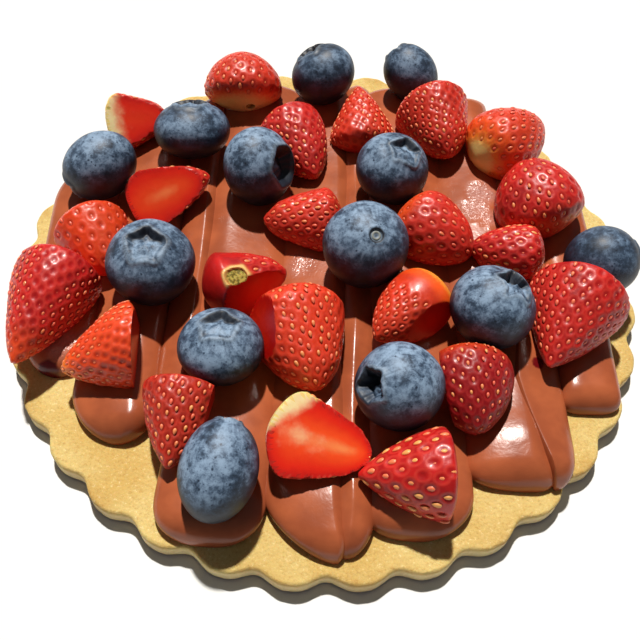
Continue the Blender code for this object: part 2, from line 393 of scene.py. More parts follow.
@dataclass(frozen=True)
class BlueberryFinish:
    """Dark blue skin under a dusty bloom, rubbed off in patches, thinned underneath as painted
    shade.
    """

    skin: Colour = tone(18, 24, 36)
    haze: Colour = tone(64, 84, 108)
    bloom: Colour = tone(142, 166, 192)
    # painted highlight: a pale colour on the crown's lip, where its edge catches the light
    lip: Colour = tone(150, 162, 172)
    # painted shade: the dark colour in a crown's hollow; on a stem scar, its dark ring and centre
    inside: Colour = tone(16, 13, 20)
    dry: Colour = tone(142, 142, 130)
    bump_depth: float = 0.07

    def material(self) -> Material:
        """Build the material."""
        g = Graph("blueberry skin")
        names = ("hollow", "scar", "streak", "dusty", "ring")
        hollow, scar, streak, dusty, ring = (g.measure(name) for name in names)
        broad = g.clouds(5.0, 2.0, 0.5)
        patch = g.clouds(1.5, 5.0, 0.66, warp=0.2)
        fine = g.clouds(0.4, 3.0, 0.7)
        film = (broad * 0.4 + patch * 0.6).eased(0.3, 0.68)
        specks = 1.0 - g.grains(1.7).eased(0.05, 0.2)
        nicks = 1.0 - g.grains(0.7).eased(0.06, 0.3)
        worn = (specks * 0.6).highest(nicks * 0.35).highest(streak * 0.4)
        # painted shade: the dusty measure thins the bloom towards the underside, so the lower half
        # darkens as if shaded
        film = (0.2 + film * 0.8) * (1.0 - worn) * (0.7 + fine * 0.6) * dusty
        colour = g.coated(
            self.skin,
            ((film * 1.7).eased(0.0, 1.0), self.haze),
            (film.eased(0.3, 0.95) * 0.9, self.bloom),
            # painted highlight: the crown's lip is tinted pale
            (ring * 0.25, self.lip),
            # painted shade inside the crown's hollow, and the stem scar's dark marks
            (hollow, self.inside),
            (scar, self.dry),
        )
        return g.finish(
            Base_Color=colour,
            Roughness=0.42 + film * 0.2,
            Normal=g.bump(patch * 0.6 + fine * 0.4, self.bump_depth),
            Specular_IOR_Level=0.4,
        )


@dataclass(frozen=True)
class StrawberrySkinFinish:
    """Moist red skin, orange where less ripe and pale at the calyx, with painted shade in the pits
    and a painted highlight round their rims.
    """

    red: Colour = tone(200, 27, 24)
    deep: Colour = tone(142, 10, 18)
    orange: Colour = tone(240, 88, 24)
    yellow: Colour = tone(250, 170, 60)
    pale: Colour = tone(244, 214, 132)
    pit_shade: Colour = tone(150, 12, 16)
    # painted highlight: a lighter colour for the rims round the pits
    ridge: Colour = tone(232, 84, 66)
    husk: Colour = tone(120, 104, 40)
    dry_husk: Colour = tone(196, 172, 84)
    bump_depth: float = 0.04

    def material(self) -> Material:
        """Build the material."""
        g = Graph("strawberry skin")
        names = ("orange", "pale", "pit", "dark", "calyx", "calyx_rim")
        orange, pale, pit, dark, calyx, rim = (g.measure(name) for name in names)
        patch = g.clouds(5.0, 3.0, 0.55)
        fine = g.clouds(0.6, 3.0)
        less = orange + (fine - 0.5) * 0.2
        # painted highlight: a ring on each pit's rim, where glints fall
        ridge = pit.eased(0.01, 0.06) * (1.0 - pit.eased(0.1, 0.35))
        colour = g.coated(
            self.red,
            ((patch - 0.8 + dark * 1.2).eased(-0.3, 0.3), self.deep),
            (less.eased(0.0, 0.8), self.orange),
            (less.eased(0.75, 1.0) * 0.8, self.yellow),
            # painted shade: the skin darkens in each pit
            (pit.eased(0.15, 0.8) * 0.5, self.pit_shade),
            # painted highlight on the pit rims, weaker on darker pieces
            (ridge * (0.26 - dark * 0.12), self.ridge),
            ((pale + (fine - 0.5) * 0.25).eased(0.2, 0.8), self.pale),
            (rim * 0.85, self.pale),
            (calyx, g.blend(fine.eased(0.4, 0.6), self.husk, self.dry_husk)),
        )
        return g.finish(
            Base_Color=colour,
            Roughness=0.36 + fine * 0.1,
            Normal=g.bump(fine, self.bump_depth),
            Specular_IOR_Level=0.38,
            Coat_Weight=0.12,
            Coat_Roughness=0.18,
            Subsurface_Weight=0.3,
            Subsurface_Radius=(1.0, 0.3, 0.15),
            Subsurface_Scale=1.4 * MM,
        )


@dataclass(frozen=True)
class StrawberryFleshFinish:
    """A wet cut face: red at the skin, orange inside, with pale threads from a pale core."""

    rim: Colour = tone(196, 16, 10)
    flesh: Colour = tone(228, 36, 10)
    inner: Colour = tone(246, 82, 26)
    core: Colour = tone(255, 170, 100)
    pale: Colour = tone(248, 226, 170)
    bump_depth: float = 0.10

    def material(self) -> Material:
        """Build the material."""
        g = Graph("strawberry flesh")
        core, pale, blush = (g.measure(name) for name in ("core", "pale", "blush"))
        threads = g.clouds(2.2, 3.0, 0.5)
        reach = core + (threads - 0.5) * 0.2
        colour = g.coated(
            self.flesh,
            (reach.eased(0.68, 1.0), self.rim),
            ((1.0 - reach.eased(0.2, 0.75)) * blush, self.inner),
            ((1.0 - reach.eased(0.0, 0.3)) * blush * 0.6, self.core),
            ((pale + (threads - 0.5) * 0.7).eased(0.1, 0.95), self.pale),
        )
        return g.finish(
            Base_Color=colour,
            Roughness=0.28 + threads * 0.1,
            Normal=g.bump(threads, self.bump_depth),
            Specular_IOR_Level=0.5,
            Coat_Weight=0.3,
            Coat_Roughness=0.14,
            Subsurface_Weight=0.4,
            Subsurface_Radius=(1.0, 0.35, 0.15),
            Subsurface_Scale=2.0 * MM,
        )


@dataclass(frozen=True)
class PipFinish:
    """Strawberry pips: straw yellow to reddish."""

    straw: Colour = tone(240, 176, 96)
    ruddy: Colour = tone(236, 104, 76)

    def material(self) -> Material:
        """Build the material."""
        g = Graph("strawberry pips")
        tint = g.measure("tint")
        speck = g.clouds(0.4, 2.0)
        colour = g.blend((tint + speck * 0.2).eased(0.1, 0.85), self.straw, self.ruddy)
        return g.finish(Base_Color=colour, Roughness=0.32 + speck * 0.15, Coat_Weight=0.2)


@dataclass(frozen=True)
class FloorFinish:
    """A plain pale floor."""

    white: Colour = (0.76, 0.76, 0.75)
    grey: Colour = (0.74, 0.74, 0.74)

    def material(self) -> Material:
        """Build the material."""
        g = Graph("pale floor")
        colour = g.blend(g.clouds(400.0, 1.0) * 0.3, self.white, self.grey)
        return g.finish(Base_Color=colour, Roughness=0.8, Specular_IOR_Level=0.1)


# -------- the bench


class Bench:
    """Modelling with operators, on one object at a time."""

    blanks: dict[tuple[int, int], bpy.types.Mesh] = {}

    @staticmethod
    def clear() -> None:
        """Leave edit mode and deselect everything."""
        if bpy.context.object and bpy.context.object.mode != "OBJECT":
            bpy.ops.object.mode_set(mode="OBJECT")
        bpy.ops.object.select_all(action="DESELECT")

    @staticmethod
    def take(thing: Thing) -> None:
        """Make thing the only one selected."""
        Bench.clear()
        thing.select_set(True)
        bpy.context.view_layer.objects.active = thing

    @classmethod
    def ball(cls, name: str, segments: int, rings: int) -> Thing:
        """A unit ball of that many segments and rings, poles up and down, copied from a blank."""
        cls.clear()
        if (segments, rings) not in cls.blanks:
            bpy.ops.mesh.primitive_uv_sphere_add(segments=segments, ring_count=rings, radius=1.0)
            first = bpy.context.object
            cls.blanks[segments, rings] = first.data
            bpy.data.objects.remove(first)
        mesh = cls.blanks[segments, rings].copy()
        thing = bpy.data.objects.new(name, mesh)
        mesh.name = name
        bpy.context.scene.collection.objects.link(thing)
        return thing

    @classmethod
    def wrap(cls, name: str, around: int, rings: int) -> tuple[Thing, Any, Any]:
        """A flat sheet of faces, to be wrapped round into a closed body.

        Args:
            name: the piece's name.
            around: how many faces it has round its axis.
            rings: how many it has from pole to pole.

        Returns:
            The sheet, and for each vertex its ring and its turn in radians.
        """
        cls.clear()
        bpy.ops.mesh.primitive_grid_add(x_subdivisions=around, y_subdivisions=rings, size=2.0)
        thing = bpy.context.object
        thing.name = thing.data.name = name
        flat = cls.points(thing)
        ring = np.rint((flat[:, 1] + 1) / 2 * rings).astype(int)
        step = np.rint((flat[:, 0] + 1) / 2 * around) % around
        return thing, ring, step / around * 2 * math.pi

    @classmethod
    @contextmanager
    def editing(cls, thing: Thing) -> Iterator[None]:
        """Edit mode on the whole of thing, for as long as the block runs."""
        cls.take(thing)
        bpy.ops.object.mode_set(mode="EDIT")
        bpy.ops.mesh.select_all(action="SELECT")
        yield
        bpy.ops.object.mode_set(mode="OBJECT")

    @classmethod
    def weld(cls, thing: Thing) -> None:
        """Close a wrapped body's seam and poles."""
        with cls.editing(thing):
            bpy.ops.mesh.remove_doubles(threshold=1e-7)
            bpy.ops.mesh.normals_make_consistent(inside=False)

    @staticmethod
    def points(thing: Thing) -> np.ndarray:
        """The places of a thing's vertices, one in each row."""
        flat = np.empty(len(thing.data.vertices) * 3)
        thing.data.vertices.foreach_get("co", flat)
        return flat.reshape(-1, 3)

    @staticmethod
    def move(thing: Thing, points: np.ndarray) -> None:
        """Put a thing's vertices at these places."""
        thing.data.vertices.foreach_set("co", points.ravel())
        thing.data.update()

    @staticmethod
    def measure(thing: Thing, **measures: Any) -> None:
        """Store numbers at the vertices under these names, one each or one for all."""
        for name, values in measures.items():
            layer = thing.data.attributes.new(name, "FLOAT", "POINT")
            each = np.broadcast_to(values, len(thing.data.vertices))
            layer.data.foreach_set("value", np.ascontiguousarray(each, dtype=np.float32))

    @staticmethod
    def carve(thing: Thing, place: np.ndarray, normal: np.ndarray) -> None:
        """Score a thing's faces along a plane, so that they have edges there."""
        with Bench.editing(thing):
            bpy.ops.mesh.bisect(plane_co=tuple(place), plane_no=tuple(normal))

    @staticmethod
    def fuse(thing: Thing, others: Iterable[Thing]) -> None:
        """Unite other closed bodies with thing, and remove them."""
        for other in others:
            Bench.take(thing)
            union = thing.modifiers.new("union", "BOOLEAN")
            union.operation = "UNION"
            union.object = other
            union.solver = "MANIFOLD"
            bpy.ops.object.modifier_apply(modifier=union.name)
            bpy.data.objects.remove(other)

    @staticmethod
    def smooth(thing: Thing, degrees: float) -> None:
        """Shade a thing smooth, with edges sharper than that kept crisp."""
        Bench.take(thing)
        bpy.ops.object.shade_smooth_by_angle(angle=math.radians(degrees))

    @staticmethod
    def turned(thing: Thing, rings: int) -> tuple[np.ndarray, np.ndarray]:
        """Read a unit ball's own grid.

        Args:
            thing: a fresh ball.
            rings: how many rings it was made with.

        Returns:
            For each vertex its ring, from 0 at the lower pole, and its turn in radians.
        """
        unit = Bench.points(thing)
        ring = np.rint(np.arccos(np.clip(-unit[:, 2], -1, 1)) / math.pi * rings)
        return ring.astype(int), np.arctan2(unit[:, 1], unit[:, 0])


def along_path(path: np.ndarray, shares: np.ndarray) -> np.ndarray:
    """Points on a polyline.

    Args:
        path: its corners, one in each row.
        shares: how far along its length each point lies, from 0 to 1.

    Returns:
        The points, one in each row.
    """
    steps = np.linalg.norm(np.diff(path, axis=0), axis=1)
    reach = np.concatenate(([0.0], np.cumsum(steps)))
    return np.stack(
        [np.interp(shares * reach[-1], reach, path[:, k]) for k in range(path.shape[1])], 1
    )


def dress(thing: Thing, slot: str, node: str, *finishes: Material) -> None:
    """Give a finished piece its materials and its place in the frame.

    Args:
        thing: the piece.
        slot: a material slot's name, which is not used.
        node: the solid that it stands for, or nothing.
        finishes: its materials, in the order of its faces' numbers.
    """
    thing.data.materials.clear()
    for finish in finishes:
        thing.data.materials.append(finish)
    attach(thing, "root")
    if node:
        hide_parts(node)
    log.info("%s: %d faces", thing.name, len(thing.data.polygons))


# -------- the shortcrust disc


@dataclass
class ShortcrustDisc:
    """A thin flat disc with a scalloped edge."""

    radius: float = 69.8
    thickness: float = 4.5
    scallops: int = 33
    scallop_depth: float = 2.0
    scallop_reach: float = 9.0
    notch_bearing: float = -142.5
    points_to_a_scallop: int = 34
    rings: int = 84
    edge_rings: int = 12
    rim_rounding: float = 0.6
    foot_rounding: float = 0.5
    crumb_from: float = 42.0
    crumb_depth: float = 0.10
    finish: ShortcrustFinish = field(default_factory=ShortcrustFinish)

    def section(self) -> np.ndarray:
        """The edge's section: radius and height, from the underside to the top."""
        corner, foot = self.rim_rounding, self.foot_rounding
        turn = np.linspace(0, math.pi / 2, 9)
        rim = np.column_stack((np.cos(turn), np.sin(turn))) * corner
        rim += (self.radius - corner, self.thickness - corner)
        return np.concatenate(([(self.radius - foot, 0.0), (self.radius, foot)], rim))

    def build(self) -> None:
        """Build and dress the disc."""
        segments = self.scallops * self.points_to_a_scallop
        thing, ring, turn = Bench.wrap("shortcrust", segments, self.rings)
        edge = along_path(self.section(), np.linspace(0, 1, self.edge_rings))
        crumb_rings = self.rings - 1 - len(edge)
        inward = np.linspace(edge[-1, 0], self.crumb_from, crumb_rings + 1)[1:]
        top = np.stack((inward, np.full(len(inward), self.thickness)), 1)
        profile = np.concatenate(([(0.0, 0.0)], edge, top, [(0.0, self.thickness)]))
        out, up = profile[ring].T
        phase = (np.degrees(turn) - self.notch_bearing) * self.scallops / 360.0
        dip = np.abs(np.cos(math.pi * phase)) ** 3 * self.scallop_depth
        out = out - dip * eased(out, self.radius - self.scallop_reach, self.radius - 1.0)
        places = level_ways(turn) * out[:, None] + np.outer(up, UP)
        places += self.crumb(places, out, up)
        Bench.move(thing, places * MM)
        Bench.weld(thing)
        Bench.smooth(thing, 60)
        dress(thing, "shortcrust", "pastry_base", self.finish.material())

    def crumb(self, places: np.ndarray, out: np.ndarray, up: np.ndarray) -> np.ndarray:
        """How far the crumb stands out of the smooth shape at each place."""
        shown = eased(out, self.crumb_from, self.crumb_from + 4.0) * eased(up, 0.3, 1.2)
        height = lumps(places, 0.9, 1.0) * 0.7 + lumps(places, 2.6, 2.0) * 0.6
        height = (height - 0.9) * self.crumb_depth * shown
        side = eased(out, self.radius - 1.6, self.radius)
        outward = level_ways(np.arctan2(places[:, 1], places[:, 0]))
        return outward * (height * side)[:, None] + np.outer(height * (1.0 - side), UP)


# -------- the cream


@dataclass(frozen=True)
class Corner:
    """How a fold's side turns in at its front: over what length, and how squarely."""

    length: float = 12.0
    squareness: float = 2.2

    def reach(self, distance: np.ndarray) -> np.ndarray:
        """The share of the full width at each distance from the front."""
        gap = 1 - np.clip(distance / self.length, 0, 1)
        return (1 - gap**self.squareness) ** (1 / self.squareness)


@dataclass
class Fold:
    """One piped fold: its ends, its size, its crest and the outline of its front.

    The crest lies from -1, the left edge, to 1, the right. The higher the ridge, the rounder it
    is. The tip is how far right the front's point lies, and the droop how long an end's slope is.
    """

    front: tuple[float, float]
    back: tuple[float, float]
    half_width: float
    height: float
    crest: float = 0.0
    ridge: float = 2.0
    left: Corner = Corner()
    right: Corner = Corner()
    tip: float = 0.0
    droop: float = 5.0
    bulge: float = 0.07
    wave: float = 0.05


@dataclass(frozen=True)
class Spot:
    """A patch of the cream: its middle, its radius and how strong it is."""

    x: float
    y: float
    radius: float
    strength: float


@dataclass
class ChocolateCream:
    """Folds of cream piped side by side, running into each other."""

    folds: tuple[Fold, ...]
    ruffles: tuple[Spot, ...] = ()
    juices: tuple[Spot, ...] = ()
    foot: float = 4.4
    belly: float = 1.5
    around: int = 56
    topside: float = 0.75
    rings: int = 120
    end_rings: int = 34
    edge: float = 2.5
    sway: float = 0.3
    bulge_from_front: float = 10.0
    bulge_length: float = 6.0
    swells: float = 0.13
    ripples: float = 0.02
    finish: CreamFinish = field(default_factory=CreamFinish)

    def stations(self, length: float) -> np.ndarray:
        """How far from the front each ring of a fold lies, closer together at its ends."""
        end = min(16.0, length / 3)
        front = (1.0 - np.cos(np.linspace(0, math.pi / 2, self.end_rings + 1))) * end
        middle = np.linspace(end, length - end, self.rings - 2 * self.end_rings + 1)[1:-1]
        return np.concatenate((front, middle, length - front[::-1]))

    def section(self, fold: Fold, across: np.ndarray) -> np.ndarray:
        """A fold's height at each place across it, from 0 at its edges to 1 at its crest."""
        side = np.where(across < fold.crest, fold.crest + 1, 1 - fold.crest)
        away = np.clip(np.abs(across - fold.crest) / side, 0, 1)
        return (1 - away**fold.ridge) ** (1 / self.edge)

    def crowded(self, turn: np.ndarray) -> np.ndarray:
        """Bearings round a fold, moved so that the topside share of them lies on its top."""
        share = (turn / (2 * math.pi)) % 1.0
        under = 1 + (share - self.topside) / (1 - self.topside)
        return np.where(share < self.topside, share / self.topside, under) * math.pi

    def fold(self, number: int, fold: Fold) -> Thing:
        """Model one fold as a closed body."""
        thing = Bench.ball(f"fold_{number}", self.around, self.rings)
        ring, turn = Bench.turned(thing, self.rings)
        turn = self.crowded(turn)
        front, back = np.array(fold.front), np.array(fold.back)
        length = float(np.linalg.norm(back - front))
        ahead = (back - front) / length
        aside = np.array((ahead[1], -ahead[0]))
        distance = self.stations(length)[ring]
        near = np.minimum(distance, length - distance)
        tip = np.where(distance < length / 2, fold.tip, 0.0)
        low = tip - (fold.half_width + tip) * fold.left.reach(near)
        high = tip + (fold.half_width - tip) * fold.right.reach(near)
        across, up = np.cos(turn), np.sin(turn)
        rise = Corner(fold.droop, 2.0).reach(near)
        offset = (low + high) / 2 + across * (high - low) / 2
        offset = offset + self.sway * np.sin(distance / 11.0 + number * 1.7)
        middle = front + ahead * distance[:, None] + aside * offset[:, None]
        swell = 1 + fold.wave * np.sin(distance / 5.0 + number)
        bulge = hump(distance, self.bulge_from_front, self.bulge_length)
        swell = swell + fold.bulge * bulge
        top = self.section(fold, across) * (fold.height - self.belly) * swell
        level = self.foot + self.belly * rise
        height = level + np.where(up > 0, top * rise, up * self.belly * rise)
        Bench.move(thing, np.column_stack((middle, height)) * MM)
        return thing

    @staticmethod
    def near(places: np.ndarray, spots: Sequence[Spot]) -> np.ndarray:
        """How strongly each place is inside any of the spots."""
        strength = np.zeros(len(places))
        for spot in spots:
            gap = np.hypot(places[:, 0] - spot.x, places[:, 1] - spot.y)
            inside = spot.strength * (1 - eased(gap, spot.radius * 0.4, spot.radius))
            strength = np.maximum(strength, inside)
        return strength

    def build(self) -> None:
        """Build and dress the cream."""
        cream, *others = [self.fold(number, fold) for number, fold in enumerate(self.folds)]
        Bench.fuse(cream, others)
        cream.name = cream.data.name = "cream"
        places = Bench.points(cream) / MM
        shown = eased(places[:, 2], self.foot + 0.2, self.foot + 2.0)
        relief = lumps(places, 6.0, 3.0) * self.swells + lumps(places, 2.4, 4.0) * self.ripples
        crinkle = lumps(places, 1.5, 5.0)
        rough = self.near(places, self.ruffles)
        places[:, 2] += (relief + crinkle * rough) * shown
        Bench.move(cream, places * MM)
        # crinkle marks the ruffled patches: their relief, and the painted sheen on them
        Bench.measure(cream, crinkle=rough, juice=self.near(places, self.juices))
        Bench.smooth(cream, 32)
        dress(cream, "chocolate_cream", "chocolate_cream", self.finish.material())


# -------- blueberries


class BerryEnd(Enum):
    """What a blueberry shows at its marked end."""

    CROWN = "crown"
    STEM_SCAR = "stem scar"


@dataclass
class Blueberry:
    """A whole blueberry: its centre, two diameters, and where its marked end points.

    The crown's radius, depth, lip, groove and pleats are shares of the berry's radius. The higher
    its level, the more its floor rises to the front. The crown zone, in degrees, has more rings.
    """

    number: int
    centre: Point
    across: float
    along: float
    azimuth: float
    elevation: float
    crown: float = 0.40
    depth: float = 0.19
    level: float = 0.8
    hollow_shade: float = 0.9
    ragged: float = 1.0
    dusty: float = 1.0
    lip: float = 0.026
    groove: float = 0.014
    pleats: float = 0.012
    crown_zone: float = 38.0
    end: BerryEnd = BerryEnd.CROWN
    segments: int = 96
    rings: int = 80
    crown_rings: int = 38

    @property
    def stand(self) -> np.ndarray:
        """The turn that points the marked end its way, as a 3 by 3 matrix."""
        return standing(self.azimuth, self.elevation)

    @property
    def back(self) -> float:
        """The bearing round the marked end that lies towards the back of the tart."""
        across, up, _ = self.stand.T @ np.array((0.0, 1.0, 0.0))
        return math.atan2(up, across)

    def angles(self) -> np.ndarray:
        """The polar angle of each ring, from the plain end, with more rings at the crown."""
        border = math.pi - math.radians(self.crown_zone)
        body = np.linspace(0, border, self.rings - self.crown_rings + 1)
        return np.concatenate((body, np.linspace(border, math.pi, self.crown_rings + 1)[1:]))

    def crown_relief(
        self, reach: np.ndarray, turn: np.ndarray
    ) -> tuple[np.ndarray, np.ndarray, np.ndarray]:
        """A five-pointed crown sunk into the end.

        Args:
            reach: each point's distance from the end's axis, as a share of the radius.
            turn: its bearing round that axis.

        Returns:
            How far each point stands out, as a share of the radius, how dark its painted shade is
            inside the hollow, and how pale the painted highlight on the lip round it is.
        """
        start = self.number * 1.3
        bearing = turn - self.back + 0.10 * np.sin(turn * 2 + start)
        points = 0.10 * np.cos(5 * bearing) + 0.035 * np.cos(10 * bearing)
        ragged = points + 0.03 * np.sin(3 * turn + start)
        inner = self.crown * (0.92 + ragged * self.ragged)
        hollow = 1 - eased(reach, inner - 0.09, inner)
        far = 0.5 + 0.5 * np.cos(turn - self.back)
        floor = self.depth * (1 - self.level + self.level * far**1.5)
        uneven = 1 + 0.3 * np.sin(turn * 3 + start * 2)
        past = reach - inner
        lip = hump(past, 0.05, 0.06) * self.lip * uneven
        groove = hump(reach, self.crown * 1.35, 0.10) * self.groove
        pleats = self.pleats * np.cos(5 * bearing + 0.6) * eased(reach, 0.05, 0.25)
        # painted shade: the hollow's back wall, which the back lip shades, and a thin line round
        # its inner edge are darkened
        wall = eased(reach, inner - 0.2, inner - 0.08) if self.level > 0.5 else np.ones(len(reach))
        wall = wall * eased(np.cos(turn - self.back), -0.1, 0.5)
        wall = np.maximum(wall, 0.45 * hump(past, -0.03, 0.035))
        shade = wall * (1 - eased(reach, inner, inner + 0.04)) * self.hollow_shade
        # the last value paints the lip pale, a painted highlight
        return hollow * (pleats - floor) + lip - groove, shade, hump(past, 0.06, 0.04)

    def scar_relief(self, reach: np.ndarray) -> tuple[np.ndarray, np.ndarray, np.ndarray]:
        """A small round pit with a dry ring on its floor: the relief, the dark parts, the ring."""
        pit = 1 - eased(reach, 0.12, 0.17)
        lip = hump(reach, 0.20, 0.05) * 0.014
        plug = hump(reach, 0.085, 0.03)
        dark = hump(reach, 0.155, 0.028) + hump(reach, 0.0, 0.04) * 0.8
        return lip - 0.06 * pit + 0.025 * plug, dark, plug

    def build(self, skin: Material) -> None:
        """Build and dress the berry."""
        thing = Bench.ball(f"blueberry_{self.number:02d}_fruit", self.segments, self.rings)
        ring, turn = Bench.turned(thing, self.rings)
        polar = self.angles()[ring]
        reach = np.where(polar > math.pi / 2, np.sin(polar), 2.0)
        unit = level_ways(turn) * np.sin(polar)[:, None] - np.outer(np.cos(polar), UP)
        lip = scar = 0.0
        if self.end is BerryEnd.CROWN:
            relief, hollow, lip = self.crown_relief(reach, turn)
        else:
            relief, hollow, scar = self.scar_relief(reach)
        dents = lumps(unit * 9, 8.0, self.number) * 0.022
        dents += lumps(unit * 9, 3.0, self.number) * 0.004
        body = unit * (1 + relief + dents * (1 - eased(-reach, -0.5, -0.3)))[:, None]
        size = np.array((self.across, self.across, self.along)) / 2
        Bench.move(thing, ((body * size) @ self.stand.T + np.array(self.centre)) * MM)
        height = (body @ self.stand.T)[:, 2]
        band = eased(-reach, -0.95, -0.6) * eased(reach, 0.3, 0.5)
        Bench.measure(
            thing,
            hollow=hollow,
            scar=scar,
            ring=lip,
            # painted shade: the bloom thins towards the underside, darkening the lower half where
            # shade falls
            dusty=self.dusty * (0.2 + 0.8 * eased(height, -0.1, 0.75)),
            streak=noise_round(turn, self.number) * band,
        )
        Bench.smooth(thing, 60)
        dress(thing, "blueberry", f"blueberry_{self.number:02d}", skin)


# -------- strawberries


@dataclass(frozen=True)
class Side:
    """One side of a piece, by the angles of the way to it."""

    azimuth: float
    elevation: float

    @property
    def way(self) -> np.ndarray:
        """The unit vector that points to it."""
        return looking(self.azimuth, self.elevation)


@dataclass(frozen=True)
class Cut(Side):
    """A knife cut: the way its face looks, and how far it lies from the piece's centre."""

    offset: float


def underside(offset: float) -> Cut:
    """The flat face that a piece lies on."""
    return Cut(0, -90, offset)


@dataclass(frozen=True)
class Calyx(Side):
    """The round scar that the leaves left: the way to it from the centre, and its radius."""

    radius: float


@dataclass(frozen=True)
class Seat:
    """Where a pip sits: its place, the skin's outward normal and the way to the tip."""

    place: np.ndarray
    normal: np.ndarray
    way: np.ndarray


@dataclass(frozen=True)
class Ripeness:
    """Where a piece is pale at its calyx, orange at its shoulder and tip, and how much.

    The blush is how orange a cut is, and the thread how pale its core. The straw is how yellow
    the pips are, and the bare share of the length has none. The slant skews the pale end.
    """

    pale: float = 0.0
    shoulder: float = 0.0
    tip: float = 0.0
    all_over: float = 0.15
    blush: float = 0.5
    straw: float = 0.5
    dark: float = 0.2
    bare: float = 0.04
    thread: float = 0.0
    slant: float = 0.0


